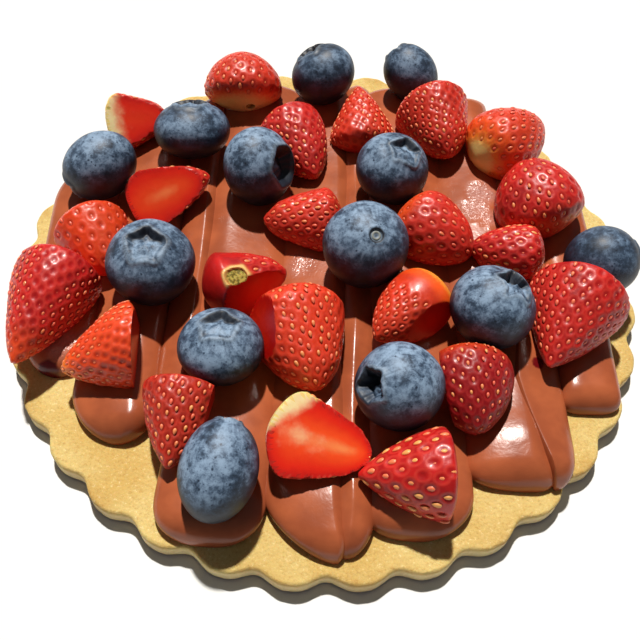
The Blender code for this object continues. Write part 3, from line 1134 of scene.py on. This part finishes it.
@dataclass
class StrawberryPiece:
    """A strawberry piece: its uncut size, where its tip points, its cuts and its colour.

    The hulled share is trimmed off at the calyx. The lower the shoulder, the nearer to the calyx
    is the widest place, and the lower the fullness, the fuller the shape.
    """

    number: int
    centre: Point
    length: float
    width: float
    tip_azimuth: float
    hulled: float
    cuts: tuple[Cut, ...]
    shoulder: float = 0.62
    fullness: float = 0.68
    ripe: Ripeness = Ripeness()
    pip_spacing: float = 2.35
    pip_size: float = 1.0
    rounding: float = 0.2
    tip_elevation: float = 0.0
    blunt: float = 0.42
    calyx: Optional[Calyx] = None
    segments: int = 150
    rings: int = 92
    pit_depth: float = 0.30
    pit_radius: float = 0.62
    pip_margin: float = 0.35
    calyx_margin: float = 1.7
    thread_width: float = 2.4
    heart_depth: float = 2.5
    cut_slack: float = 0.02
    tip_share: float = 0.985
    flat_rings: int = 12

    def outline(self, share: np.ndarray) -> np.ndarray:
        """The radius at each share of the uncut length, with a blunt tip."""
        swell = np.sin(math.pi * np.clip(share, 0, 1) ** self.shoulder).clip(0)
        body = self.width / 2 * swell**self.fullness
        blunt = self.width * self.blunt * np.sqrt(np.clip(1 - share, 0, 1) * 2)
        return np.minimum(body + 0.06 * self.width * eased(share, 0.6, 0.9) * (1 - share), blunt)

    def profile(self) -> np.ndarray:
        """Radius, height and share along the length for each ring, from the calyx to the tip."""
        fine = 1 - (1 - np.linspace(0, 1, 400)) ** 1.5
        share = self.hulled + (self.tip_share - self.hulled) * fine**1.3
        height = (share - (1 + self.hulled) / 2) * self.length
        over = np.clip((height - height[0]) / (self.rounding * self.width * 0.3), 0, 1)
        radius = self.outline(share) * (1 - self.rounding * (1 - np.sqrt(1 - (1 - over) ** 2)))
        radius[-1] = 0.0
        skin = along_path(
            np.stack((radius, height, share), 1), np.linspace(0, 1, self.rings - self.cap_rings + 1)
        )
        disc = np.repeat(skin[:1], self.cap_rings, axis=0)
        disc[:, 0] *= np.linspace(0, 1, self.cap_rings + 1)[:-1]
        return np.concatenate((disc, skin))

    @property
    def cap_rings(self) -> int:
        """How many rings lie on the flat calyx end, of which a rounded one has none."""
        return 0 if self.rounding >= 1 else self.flat_rings

    @property
    def stand(self) -> np.ndarray:
        """The turn that points the tip its way, as a 3 by 3 matrix."""
        return standing(self.tip_azimuth, self.tip_elevation)

    def pip_seats(self, profile: np.ndarray) -> list[Seat]:
        """Where pips sit, in the piece's own frame."""
        body = profile[self.cap_rings + 3 :]
        steps = np.hypot(*np.diff(body[:, :2], axis=0).T)
        belts = math.pi * (body[1:, 0] + body[:-1, 0]) * steps
        area = np.concatenate(([0.0], np.cumsum(belts)))
        each = self.pip_spacing**2 * HEXAGON_SHARE
        count = int(area[-1] / each)
        chance = random.Random(self.number)
        placed = []
        for i in range(count):
            where = (i + 0.5) * each
            radius, height, share = (np.interp(where, area, body[:, k]) for k in range(3))
            if share < self.hulled + max(self.ripe.bare, self.ripe.pale):
                continue
            k = int(np.clip(np.searchsorted(area, where), 1, len(body) - 1))
            slope = body[k, :2] - body[k - 1, :2]
            slope = slope / (np.linalg.norm(slope) + 1e-9)
            turn = i * GOLDEN_TURN + chance.uniform(-0.05, 0.05)
            out = np.array((math.cos(turn), math.sin(turn), 0.0))
            normal, way = out * slope[1] - UP * slope[0], out * slope[0] + UP * slope[1]
            placed.append(Seat(out * radius + UP * height, normal, way))
        return placed

    def pits(self, places: np.ndarray, pips: Iterable[Seat]) -> tuple[np.ndarray, np.ndarray]:
        """The relief that the pips press into the skin.

        Args:
            places: the skin's points, in the piece's own frame.
            pips: the pips' seats, in the same frame.

        Returns:
            How far each point stands out, in millimetres, and how deep in a pit it is, 0 to 1.
        """
        near = np.full(len(places), 9.0)
        for pip in pips:
            gap = places - pip.place
            ahead = gap @ pip.way
            across = np.sum(gap * gap, axis=1) - ahead**2
            near = np.minimum(near, np.sqrt(np.maximum(across + (ahead / 1.3) ** 2, 0)))
        radius = self.pit_radius * (0.6 + 0.4 * self.pip_size)
        pit = hump(near, 0.0, radius)
        rim = 0.09 * hump(near, radius * 1.75, radius * 0.5)
        return rim - self.pit_depth * pit, pit

    def build(self, skin: Material, flesh: Material) -> list[Seat]:
        """Build and dress the piece.

        Args:
            skin: the skin's material.
            flesh: the cut faces' material.

        Returns:
            The seats of the pips that stay on it, in the tart's frame.
        """
        thing = Bench.ball(f"strawberry_{self.number:02d}_piece", self.segments, self.rings)
        ring, turn = Bench.turned(thing, self.rings)
        profile = self.profile()
        radius, height, share = profile[ring].T
        out = level_ways(turn)
        wobble = 1 + 0.025 * np.cos(2 * turn + self.number)
        wobble += 0.015 * np.cos(3 * turn - self.number)
        local = out * (radius * wobble)[:, None] + np.outer(height, UP)
        local += out * (lumps(local, 8.0, self.number) * 0.30)[:, None]
        pips = self.pip_seats(profile)
        relief, pit = self.pits(local, pips)
        bare = ring < self.cap_rings
        relief, pit = np.where(bare, 0, relief), np.where(bare, 0, pit)
        slant = eased(share, 0.75, 1.0)[:, None]
        push = out * (1 - slant) + UP * slant
        local = local + push * relief[:, None]
        stand, centre = self.stand, np.array(self.centre)
        spots = local @ stand.T
        scar = np.zeros((len(spots), 2))
        if self.calyx:
            spots, scar = self.mark(spots)
            pips = [pip for pip in pips if self.off_calyx(stand @ pip.place)]
        Bench.move(thing, (spots + centre) * MM)
        Bench.measure(thing, pit=pit, calyx=scar[:, 0], calyx_rim=scar[:, 1])
        for cut in self.cuts:
            self.press(thing, cut)
        Bench.smooth(thing, 38)
        dress(thing, "strawberry", f"strawberry_{self.number:02d}", skin, flesh)
        self.colour(thing, profile)
        kept = []
        for pip in pips:
            spot = stand @ pip.place
            if all(spot @ cut.way < cut.offset - self.pip_margin for cut in self.cuts):
                kept.append(Seat(spot + centre, stand @ pip.normal, stand @ pip.way))
        return kept

    def off_calyx(self, spot: np.ndarray) -> bool:
        """Whether a spot is clear of the calyx scar."""
        way, clear = self.calyx.way, self.calyx.radius * self.calyx_margin
        aside = spot - way * (spot @ way)
        return bool(spot @ way < 0 or np.linalg.norm(aside) > clear)

    def mark(self, spots: np.ndarray) -> tuple[np.ndarray, np.ndarray]:
        """Sink the calyx scar into the skin.

        Args:
            spots: the surface's points, from the piece's centre.

        Returns:
            The points moved, and for each how far it is inside the scar and on its rim.
        """
        way = self.calyx.way
        deep = spots @ way
        gap = np.linalg.norm(spots - np.outer(deep, way), axis=1)
        gap = np.where(deep > 0, gap / self.calyx.radius, 9.0)
        gap = gap * (1 + 0.12 * lumps(spots, 1.8, self.number))
        inside = 1 - eased(gap, 0.72, 0.92)
        rim = hump(gap, 1.0, 0.16)
        rough = lumps(spots, 0.8, self.number + 5) * 0.18
        lift = rim * 0.22 - inside * (0.55 - rough)
        return spots + np.outer(lift, way), np.column_stack((inside, rim))

    def press(self, thing: Thing, cut: Cut) -> None:
        """Slice the piece along a cut, and press what lies past it flat onto the cut face."""
        normal, centre = cut.way, np.array(self.centre)
        plane = centre + normal * cut.offset
        Bench.carve(thing, plane * MM, normal)
        places = Bench.points(thing) / MM
        heart = centre - sum(
            other.way * max(0.0, self.heart_depth - other.offset) for other in self.cuts
        )
        past = (places - plane) @ normal
        out = past > 1e-4
        ray = places[out] - heart
        deep = (heart - plane) @ normal
        places[out] = heart + ray * (-deep / (past[out] - deep))[:, None]
        Bench.move(thing, places * MM)

    def colour(self, thing: Thing, profile: np.ndarray) -> None:
        """Mark the cut faces, and store where the piece is pale, orange or blushed."""
        places = Bench.points(thing) / MM - np.array(self.centre)
        local = places @ self.stand
        share = local[:, 2] / self.length + (1 + self.hulled) / 2
        radius = np.hypot(local[:, 0], local[:, 1])
        edge = profile[self.cap_rings :]
        full = np.interp(local[:, 2], edge[:, 1], edge[:, 0])
        core = np.clip(radius / np.maximum(full, 1.0), 0, 1)
        ripe = self.ripe
        skewed = share + ripe.slant * (places @ looking(self.tip_azimuth + 90, 0)) / self.width
        pale = 1 - eased(skewed, self.hulled, self.hulled + ripe.pale * 1.6 + 0.01)
        pale = pale * (ripe.pale > 0)
        thread = hump(radius, 0.0, self.thread_width) * (1 - eased(share, 0.1, 0.7))
        pale = np.maximum(pale, thread * ripe.thread)
        orange = ripe.shoulder * (1 - eased(share, self.hulled, self.hulled + 0.45))
        orange = np.maximum(orange, ripe.tip * eased(share, 0.62, 0.97))
        orange = np.maximum(orange, ripe.all_over)
        Bench.measure(
            thing, core=core, pale=pale, orange=orange, blush=ripe.blush, dark=ripe.dark
        )
        flesh = np.zeros(len(thing.data.polygons), dtype=bool)
        on_cap = (share < self.hulled + 0.012) & (self.rounding < 1)
        planes = [np.abs(places @ cut.way - cut.offset) < self.cut_slack for cut in self.cuts]
        for polygon in thing.data.polygons:
            corners = list(polygon.vertices)
            if any(plane[corners].all() for plane in planes) or on_cap[corners].all():
                flesh[polygon.index] = True
        thing.data.polygons.foreach_set("material_index", flesh.astype(np.int32))


@dataclass
class StrawberryPips:
    """All the pips, each a small drop-shaped seed pressed into its pit."""

    length: float = 1.4
    width: float = 0.9
    thickness: float = 0.55
    sunk: float = 0.08
    segments: int = 7
    rings: int = 5
    finish: PipFinish = field(default_factory=PipFinish)

    def seed(self) -> tuple[np.ndarray, list[tuple[int, ...]]]:
        """One pip's vertices and faces, long along X and thin along Z."""
        thing = Bench.ball("pip", self.segments, self.rings)
        unit = Bench.points(thing)[:, [2, 0, 1]]
        narrow = 1 - 0.38 * eased(unit[:, 0], -0.2, 1.0)
        shape = unit * np.array((self.length, self.width, self.thickness)) / 2
        shape[:, 1:] *= narrow[:, None]
        faces = [tuple(polygon.vertices) for polygon in thing.data.polygons]
        bpy.data.objects.remove(thing)
        return shape, faces

    def build(self, berries: Iterable[tuple[StrawberryPiece, list[Seat]]]) -> None:
        """Copy the pip to every seat of these pieces and dress the lot."""
        shape, faces = self.seed()
        chance = random.Random(7)
        vertices, polygons, tints = [], [], []
        for piece, seats in berries:
            sunk = self.sunk * piece.pip_size + piece.pit_depth * 0.45
            for seat in seats:
                size = piece.pip_size * chance.uniform(0.85, 1.12)
                side = np.cross(seat.normal, seat.way)
                turn = np.column_stack((seat.way, side, seat.normal)) * size
                start = len(vertices) * len(shape)
                vertices.append(shape @ turn.T + seat.place - seat.normal * sunk)
                polygons += [tuple(start + corner for corner in face) for face in faces]
                tint = 0.55 * (1 - piece.ripe.straw) + 0.45 * chance.random()
                tints.append(np.full(len(shape), tint))
        mesh = bpy.data.meshes.new("strawberry_pips")
        mesh.from_pydata((np.concatenate(vertices) * MM).tolist(), [], polygons)
        thing = bpy.data.objects.new("strawberry_pips", mesh)
        bpy.context.scene.collection.objects.link(thing)
        Bench.measure(thing, tint=np.concatenate(tints))
        with Bench.editing(thing):
            bpy.ops.mesh.normals_make_consistent(inside=False)
        Bench.smooth(thing, 80)
        dress(thing, "strawberry", "", self.finish.material())


# -------- the studio


@dataclass
class Studio:
    """A pale floor, a camera above the front, and soft light from behind."""

    eye: Point = (-0.7, -109.14, 148.57)
    ahead: Point = (0.0, 0.557745, -0.830012)
    right: Point = (0.999123, 0.034757, 0.023356)
    view_degrees: float = 43.9
    sun_azimuth: float = 98.0
    sun_elevation: float = 63.0
    sun_strength: float = 4.8
    sun_spread: float = 2.5
    sun_colour: Colour = (1.0, 0.965, 0.91)
    sky_strength: float = 0.10
    sky_colour: Colour = (0.90, 0.95, 1.0)
    floor_size: float = 4.0
    floor_gap: float = 0.00005

    def camera(self) -> None:
        """Set the camera."""
        Bench.clear()
        bpy.ops.object.camera_add(location=tuple(c * MM for c in self.eye))
        camera = bpy.context.object
        camera.name = "camera"
        ahead, right = Vector(self.ahead), Vector(self.right)
        turn = Matrix((right, right.cross(ahead), -ahead)).transposed()
        camera.rotation_euler = turn.to_euler()
        camera.data.sensor_fit = "HORIZONTAL"
        camera.data.angle = math.radians(self.view_degrees)
        camera.data.clip_start = 0.005
        camera.data.clip_end = 10.0
        bpy.context.scene.camera = camera

    def light(self) -> None:
        """Set one soft key light behind the tart, and an even pale sky."""
        Bench.clear()
        bpy.ops.object.light_add(type="SUN", location=(0, 0.3, 0.4))
        sun = bpy.context.object
        sun.name = "key"
        to_light = Vector(looking(self.sun_azimuth, self.sun_elevation))
        sun.rotation_euler = to_light.to_track_quat("Z", "Y").to_euler()
        sun.data.energy = self.sun_strength
        sun.data.angle = math.radians(self.sun_spread)
        sun.data.color = self.sun_colour
        world = bpy.data.worlds.new("studio")
        world.use_nodes = True
        background = world.node_tree.nodes["Background"]
        background.inputs["Color"].default_value = (*self.sky_colour, 1.0)
        background.inputs["Strength"].default_value = self.sky_strength
        bpy.context.scene.world = world
        bpy.context.scene.view_settings.view_transform = "Standard"

    def floor(self) -> None:
        """Lay the floor."""
        Bench.clear()
        bpy.ops.mesh.primitive_plane_add(size=self.floor_size, location=(0, 0, -self.floor_gap))
        floor = bpy.context.object
        floor.name = "floor"
        floor.data.materials.append(FloorFinish().material())


# -------- this tart

FOLDS = (
    Fold((-54.5, -29.5), (-57.0, 28.0), 8.0, 4.8),
    Fold((-41.4, -44.0), (-42.5, 49.5), 8.6, 5.4, crest=0.45, ridge=1.4, tip=1.5,
        left=Corner(11.0, 1.8), right=Corner(7.0, 2.0)),
    Fold((-28.6, -44.0), (-31.0, 55.0), 4.3, 5.6, crest=0.4, ridge=1.2),
    Fold((-19.8, -63.4), (-17.5, 62.0), 10.6, 5.3, crest=-0.35, ridge=1.4, tip=1.0,
        left=Corner(10.0, 2.8), right=Corner(9.0, 2.4)),
    Fold((-2.2, -65.6), (-3.2, 64.0), 8.0, 5.3, crest=0.62, ridge=1.2, tip=6.0,
        left=Corner(12.0, 1.55), right=Corner(4.0, 2.0)),
    Fold((7.2, -64.6), (7.0, 63.0), 4.2, 5.2, crest=-0.1, ridge=1.15, tip=-1.6,
        left=Corner(5.0, 2.0), right=Corner(11.0, 2.0), wave=0.15),
    Fold((19.5, -60.8), (18.5, 62.0), 10.6, 5.3, crest=-0.2, ridge=1.5, left=Corner(7.0, 2.8),
        right=Corner(9.0, 2.0)),
    Fold((37.3, -50.4), (31.5, 58.5), 8.9, 5.6, crest=0.45, ridge=1.3, tip=5.0,
        left=Corner(5.5, 2.5), right=Corner(3.5, 2.6), bulge=0.16),
    Fold((44.1, -49.6), (43.6, -6.0), 5.7, 6.1, crest=-0.72, ridge=1.25, tip=1.4,
        left=Corner(24.0, 1.35), right=Corner(8.0, 2.2)),
    Fold((45.0, -8.0), (43.0, 49.5), 5.8, 5.0, ridge=1.5),
    Fold((55.6, -33.0), (54.5, 29.0), 6.2, 4.9, ridge=3.2, left=Corner(3.0, 3.4),
        right=Corner(4.0, 3.2)),
)

RUFFLES = (
    Spot(36.4, 22.0, 4.6, 0.7),
    Spot(34.4, 17.0, 4.2, 0.55),
    Spot(37.6, 14.2, 3.2, 0.5),
    Spot(-54.0, -24.0, 4.5, 0.5),
    Spot(-5.7, -0.5, 4.5, 0.3),
    Spot(28.0, -26.0, 4.0, 0.5),
)

JUICES = (
    Spot(44.2, -24.2, 2.2, 0.6),
    Spot(-56.0, -30.0, 4.0, 0.7),
    Spot(12.0, -13.5, 3.0, 0.5),
)

BLUEBERRIES = (
    Blueberry(1, (-2.5, 55.0, 16.0), 16.5, 14.5, 150, 50, depth=0.3, dusty=0.7),
    Blueberry(2, (19.8, 57.2, 15.6), 13.0, 15.5, 140, 35, dusty=0.75),
    Blueberry(3, (-33.0, 33.0, 16.0), 18.0, 13.5, 95, 62, crown=0.42, dusty=0.85),
    Blueberry(4, (-52.6, 20.0, 16.0), 15.0, 17.5, 215, -20, dusty=0.85),
    Blueberry(5, (-16.2, 21.3, 16.5), 17.8, 15.5, -18, 22, crown=0.55, depth=0.4, level=0.3,
        ragged=0.35),
    Blueberry(6, (14.5, 22.6, 16.3), 17.0, 15.5, -20, 69, crown=0.42),
    Blueberry(7, (-36.5, -8.0, 17.0), 18.5, 16.5, -80, 80, crown=0.44),
    Blueberry(8, (8.3, -1.5, 17.75), 18.5, 17.5, -65, 62, end=BerryEnd.STEM_SCAR),
    Blueberry(9, (-20.0, -27.0, 15.5), 17.0, 13.5, 90, 80, crown=0.44),
    Blueberry(10, (15.0, -34.8, 16.5), 17.0, 17.5, -155, 36, depth=0.4, level=0.4),
    Blueberry(11, (34.2, -15.8, 17.0), 17.5, 16.5, 15, 62, crown=0.42, depth=0.28, ragged=1.7),
    Blueberry(12, (59.4, -1.2, 15.2), 15.0, 16.0, 10, 10, dusty=0.62),
    Blueberry(13, (-17.7, -52.8, 15.5), 14.2, 19.0, 80, 22, crown=0.3, dusty=0.9),
)

STRAWBERRIES = (
    StrawberryPiece(1, (-47.2, 38.3, 13.5), 16.0, 14.0, 15, 0.05,
        (Cut(-68, 50, 2.6), underside(5.5)), rounding=0.6, calyx=Calyx(-160, 42, 1.7),
        ripe=Ripeness(pale=0.25, shoulder=0.5, blush=0.4)),
    StrawberryPiece(2, (-23.0, 54.5, 12.5), 17.0, 20.0, 93, 0.08, (underside(3.0),), 0.85, 0.55,
        rounding=1.0, tip_elevation=35.0, pip_spacing=2.7, blunt=0.6, calyx=Calyx(-72, -8, 1.4),
        ripe=Ripeness(pale=0.2, shoulder=1.0, all_over=0.25, straw=0.3)),
    StrawberryPiece(3, (-7.6, 33.4, 11.5), 23.0, 16.5, -65, 0.05, (underside(2.0),), rounding=1.0,
        blunt=0.5, ripe=Ripeness(all_over=0.05, straw=0.4)),
    StrawberryPiece(4, (7.4, 43.4, 11.5), 21.0, 17.5, 97, 0.12, (underside(2.0),), 0.50, 0.80,
        tip_elevation=28.0, pip_size=0.85, rounding=1.0, pip_spacing=2.1,
        ripe=Ripeness(all_over=0.25, straw=0.4)),
    StrawberryPiece(5, (26.3, 40.5, 13.5), 22.0, 18.5, -75, 0.05, (underside(4.0),), rounding=1.0,
        pip_spacing=2.1, pip_size=0.85, ripe=Ripeness(all_over=0.2, straw=0.4)),
    StrawberryPiece(6, (43.3, 36.4, 13.4), 22.5, 17.5, 38, 0.05, (underside(4.0),), 0.78, 0.6,
        rounding=1.0, pip_spacing=2.8, blunt=0.6,
        ripe=Ripeness(pale=0.07, shoulder=1.0, all_over=0.3, straw=0.3)),
    StrawberryPiece(7, (47.8, 17.6, 13.6), 20.5, 19.5, 110, 0.08, (underside(4.2),), 0.85, 0.55,
        tip_elevation=32.0, blunt=0.62, rounding=1.0, pip_spacing=2.8,
        ripe=Ripeness(shoulder=0.4, all_over=0.05)),
    StrawberryPiece(8, (-35.8, 15.0, 14.2), 20.5, 14.0, 32, 0.05,
        (Cut(-90, 50, 0.5), underside(6.2)), ripe=Ripeness(blush=0.7)),
    StrawberryPiece(9, (-50.0, 0.2, 12.0), 19.0, 17.0, -60, 0.05, (underside(2.0),), rounding=1.0,
        pip_spacing=3.1, pip_size=0.9, ripe=Ripeness(all_over=0.4, straw=0.0)),
    StrawberryPiece(10, (-58.2, -19.6, 13.0), 28.5, 18.2, -102, 0.14, (underside(4.0),), 0.48, 0.76,
        pip_spacing=2.1, pip_size=0.8, blunt=0.46, ripe=Ripeness(tip=0.5, all_over=0.0, straw=0.2)),
    StrawberryPiece(11, (-43.6, -28.2, 12.0), 20.6, 18.5, 205, 0.15,
        (underside(2.4), Cut(5, -4, 6.4)), 0.46, 0.72, pip_spacing=1.95, pip_size=0.8,
        ripe=Ripeness(tip=0.9, all_over=0.45, straw=0.4, dark=0.0)),
    StrawberryPiece(12, (-16.8, -9.2, 13.0), 19.5, 15.5, 22, 0.05,
        (Cut(-48, 16, 4.2), underside(5.0)), rounding=1.0, calyx=Calyx(-110, 60, 2.3),
        pip_spacing=2.6, ripe=Ripeness(all_over=0.05, blush=0.2, straw=0.3, bare=0.5)),
    StrawberryPiece(13, (-4.0, -24.5, 13.0), 23.0, 21.0, -69, 0.08,
        (underside(3.0), Cut(-159, 24, 7.7)), pip_size=0.95,
        ripe=Ripeness(all_over=0.3, straw=0.35, dark=0.0)),
    StrawberryPiece(14, (-5.4, 9.8, 11.5), 19.5, 15.0, 180, 0.05, (underside(2.0),), rounding=1.0,
        ripe=Ripeness(all_over=0.2, straw=0.3)),
    StrawberryPiece(15, (24.2, 7.2, 12.0), 20.5, 17.0, -36, 0.05, (underside(2.0),), 0.75, 0.6,
        rounding=1.0, pip_spacing=2.8, blunt=0.6, ripe=Ripeness(shoulder=0.7, straw=0.1)),
    StrawberryPiece(16, (39.9, 2.8, 11.6), 17.8, 14.0, 170, 0.05, (underside(2.0),), rounding=1.0,
        blunt=0.55, ripe=Ripeness(all_over=0.0, straw=0.5)),
    StrawberryPiece(17, (49.8, -17.8, 13.0), 25.0, 20.8, -116, 0.16, (underside(4.0),), 0.46, 0.84,
        pip_size=0.9, ripe=Ripeness(all_over=0.05, straw=0.1)),
    StrawberryPiece(18, (17.0, -15.4, 13.0), 20.0, 14.5, -134, 0.08,
        (Cut(-56, 16, 5.4), underside(5.0)), 0.66, 0.64, blunt=0.5, rounding=0.4, pip_size=0.8,
        pip_spacing=2.0, ripe=Ripeness(shoulder=1.0, all_over=0.3, blush=0.6, straw=0.2, bare=0.4)),
    # dark=1.3 deepens this piece's whole skin: a deeper red, and partly painted shade for its
    # shaded front
    StrawberryPiece(19, (29.4, -32.6, 12.5), 20.0, 16.8, -85, 0.05,
        (underside(3.2), Cut(184, -20, 4.3)), 0.7, 0.6, rounding=1.0, blunt=0.55, pip_size=0.7,
        ripe=Ripeness(shoulder=0.5, all_over=0.0, dark=1.3)),
    StrawberryPiece(20, (-27.0, -43.5, 12.0), 20.0, 15.5, -94, 0.18,
        (underside(2.5), Cut(-10, -6, 5.0)), 0.50, 0.76, pip_spacing=2.15, pip_size=0.85,
        ripe=Ripeness(all_over=0.2, straw=0.5, dark=0.4)),
    StrawberryPiece(21, (0.5, -46.0, 14.0), 21.8, 17.0, -15, 0.05,
        (Cut(-70, 62, 1.0), underside(6.0)), rounding=0.9,
        ripe=Ripeness(pale=0.12, blush=1.0, bare=0.3, thread=1.4, slant=-0.7)),
    StrawberryPiece(22, (15.8, -50.8, 12.0), 21.0, 17.5, 183, 0.18, (underside(3.6),), 0.50, 0.80,
        pip_size=1.3, pip_spacing=3.0, ripe=Ripeness(all_over=0.0, straw=0.7)),
)


def main() -> None:
    """Build the tart and the studio around it."""
    logging.basicConfig(level=logging.INFO, format="%(name)s %(message)s")
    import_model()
    ShortcrustDisc().build()
    ChocolateCream(FOLDS, RUFFLES, JUICES).build()
    blue = BlueberryFinish().material()
    for berry in BLUEBERRIES:
        berry.build(blue)
    skin = StrawberrySkinFinish().material()
    flesh = StrawberryFleshFinish().material()
    StrawberryPips().build([(piece, piece.build(skin, flesh)) for piece in STRAWBERRIES])
    studio = Studio()
    studio.floor()
    studio.light()
    studio.camera()


if __name__ == "__main__":
    main()
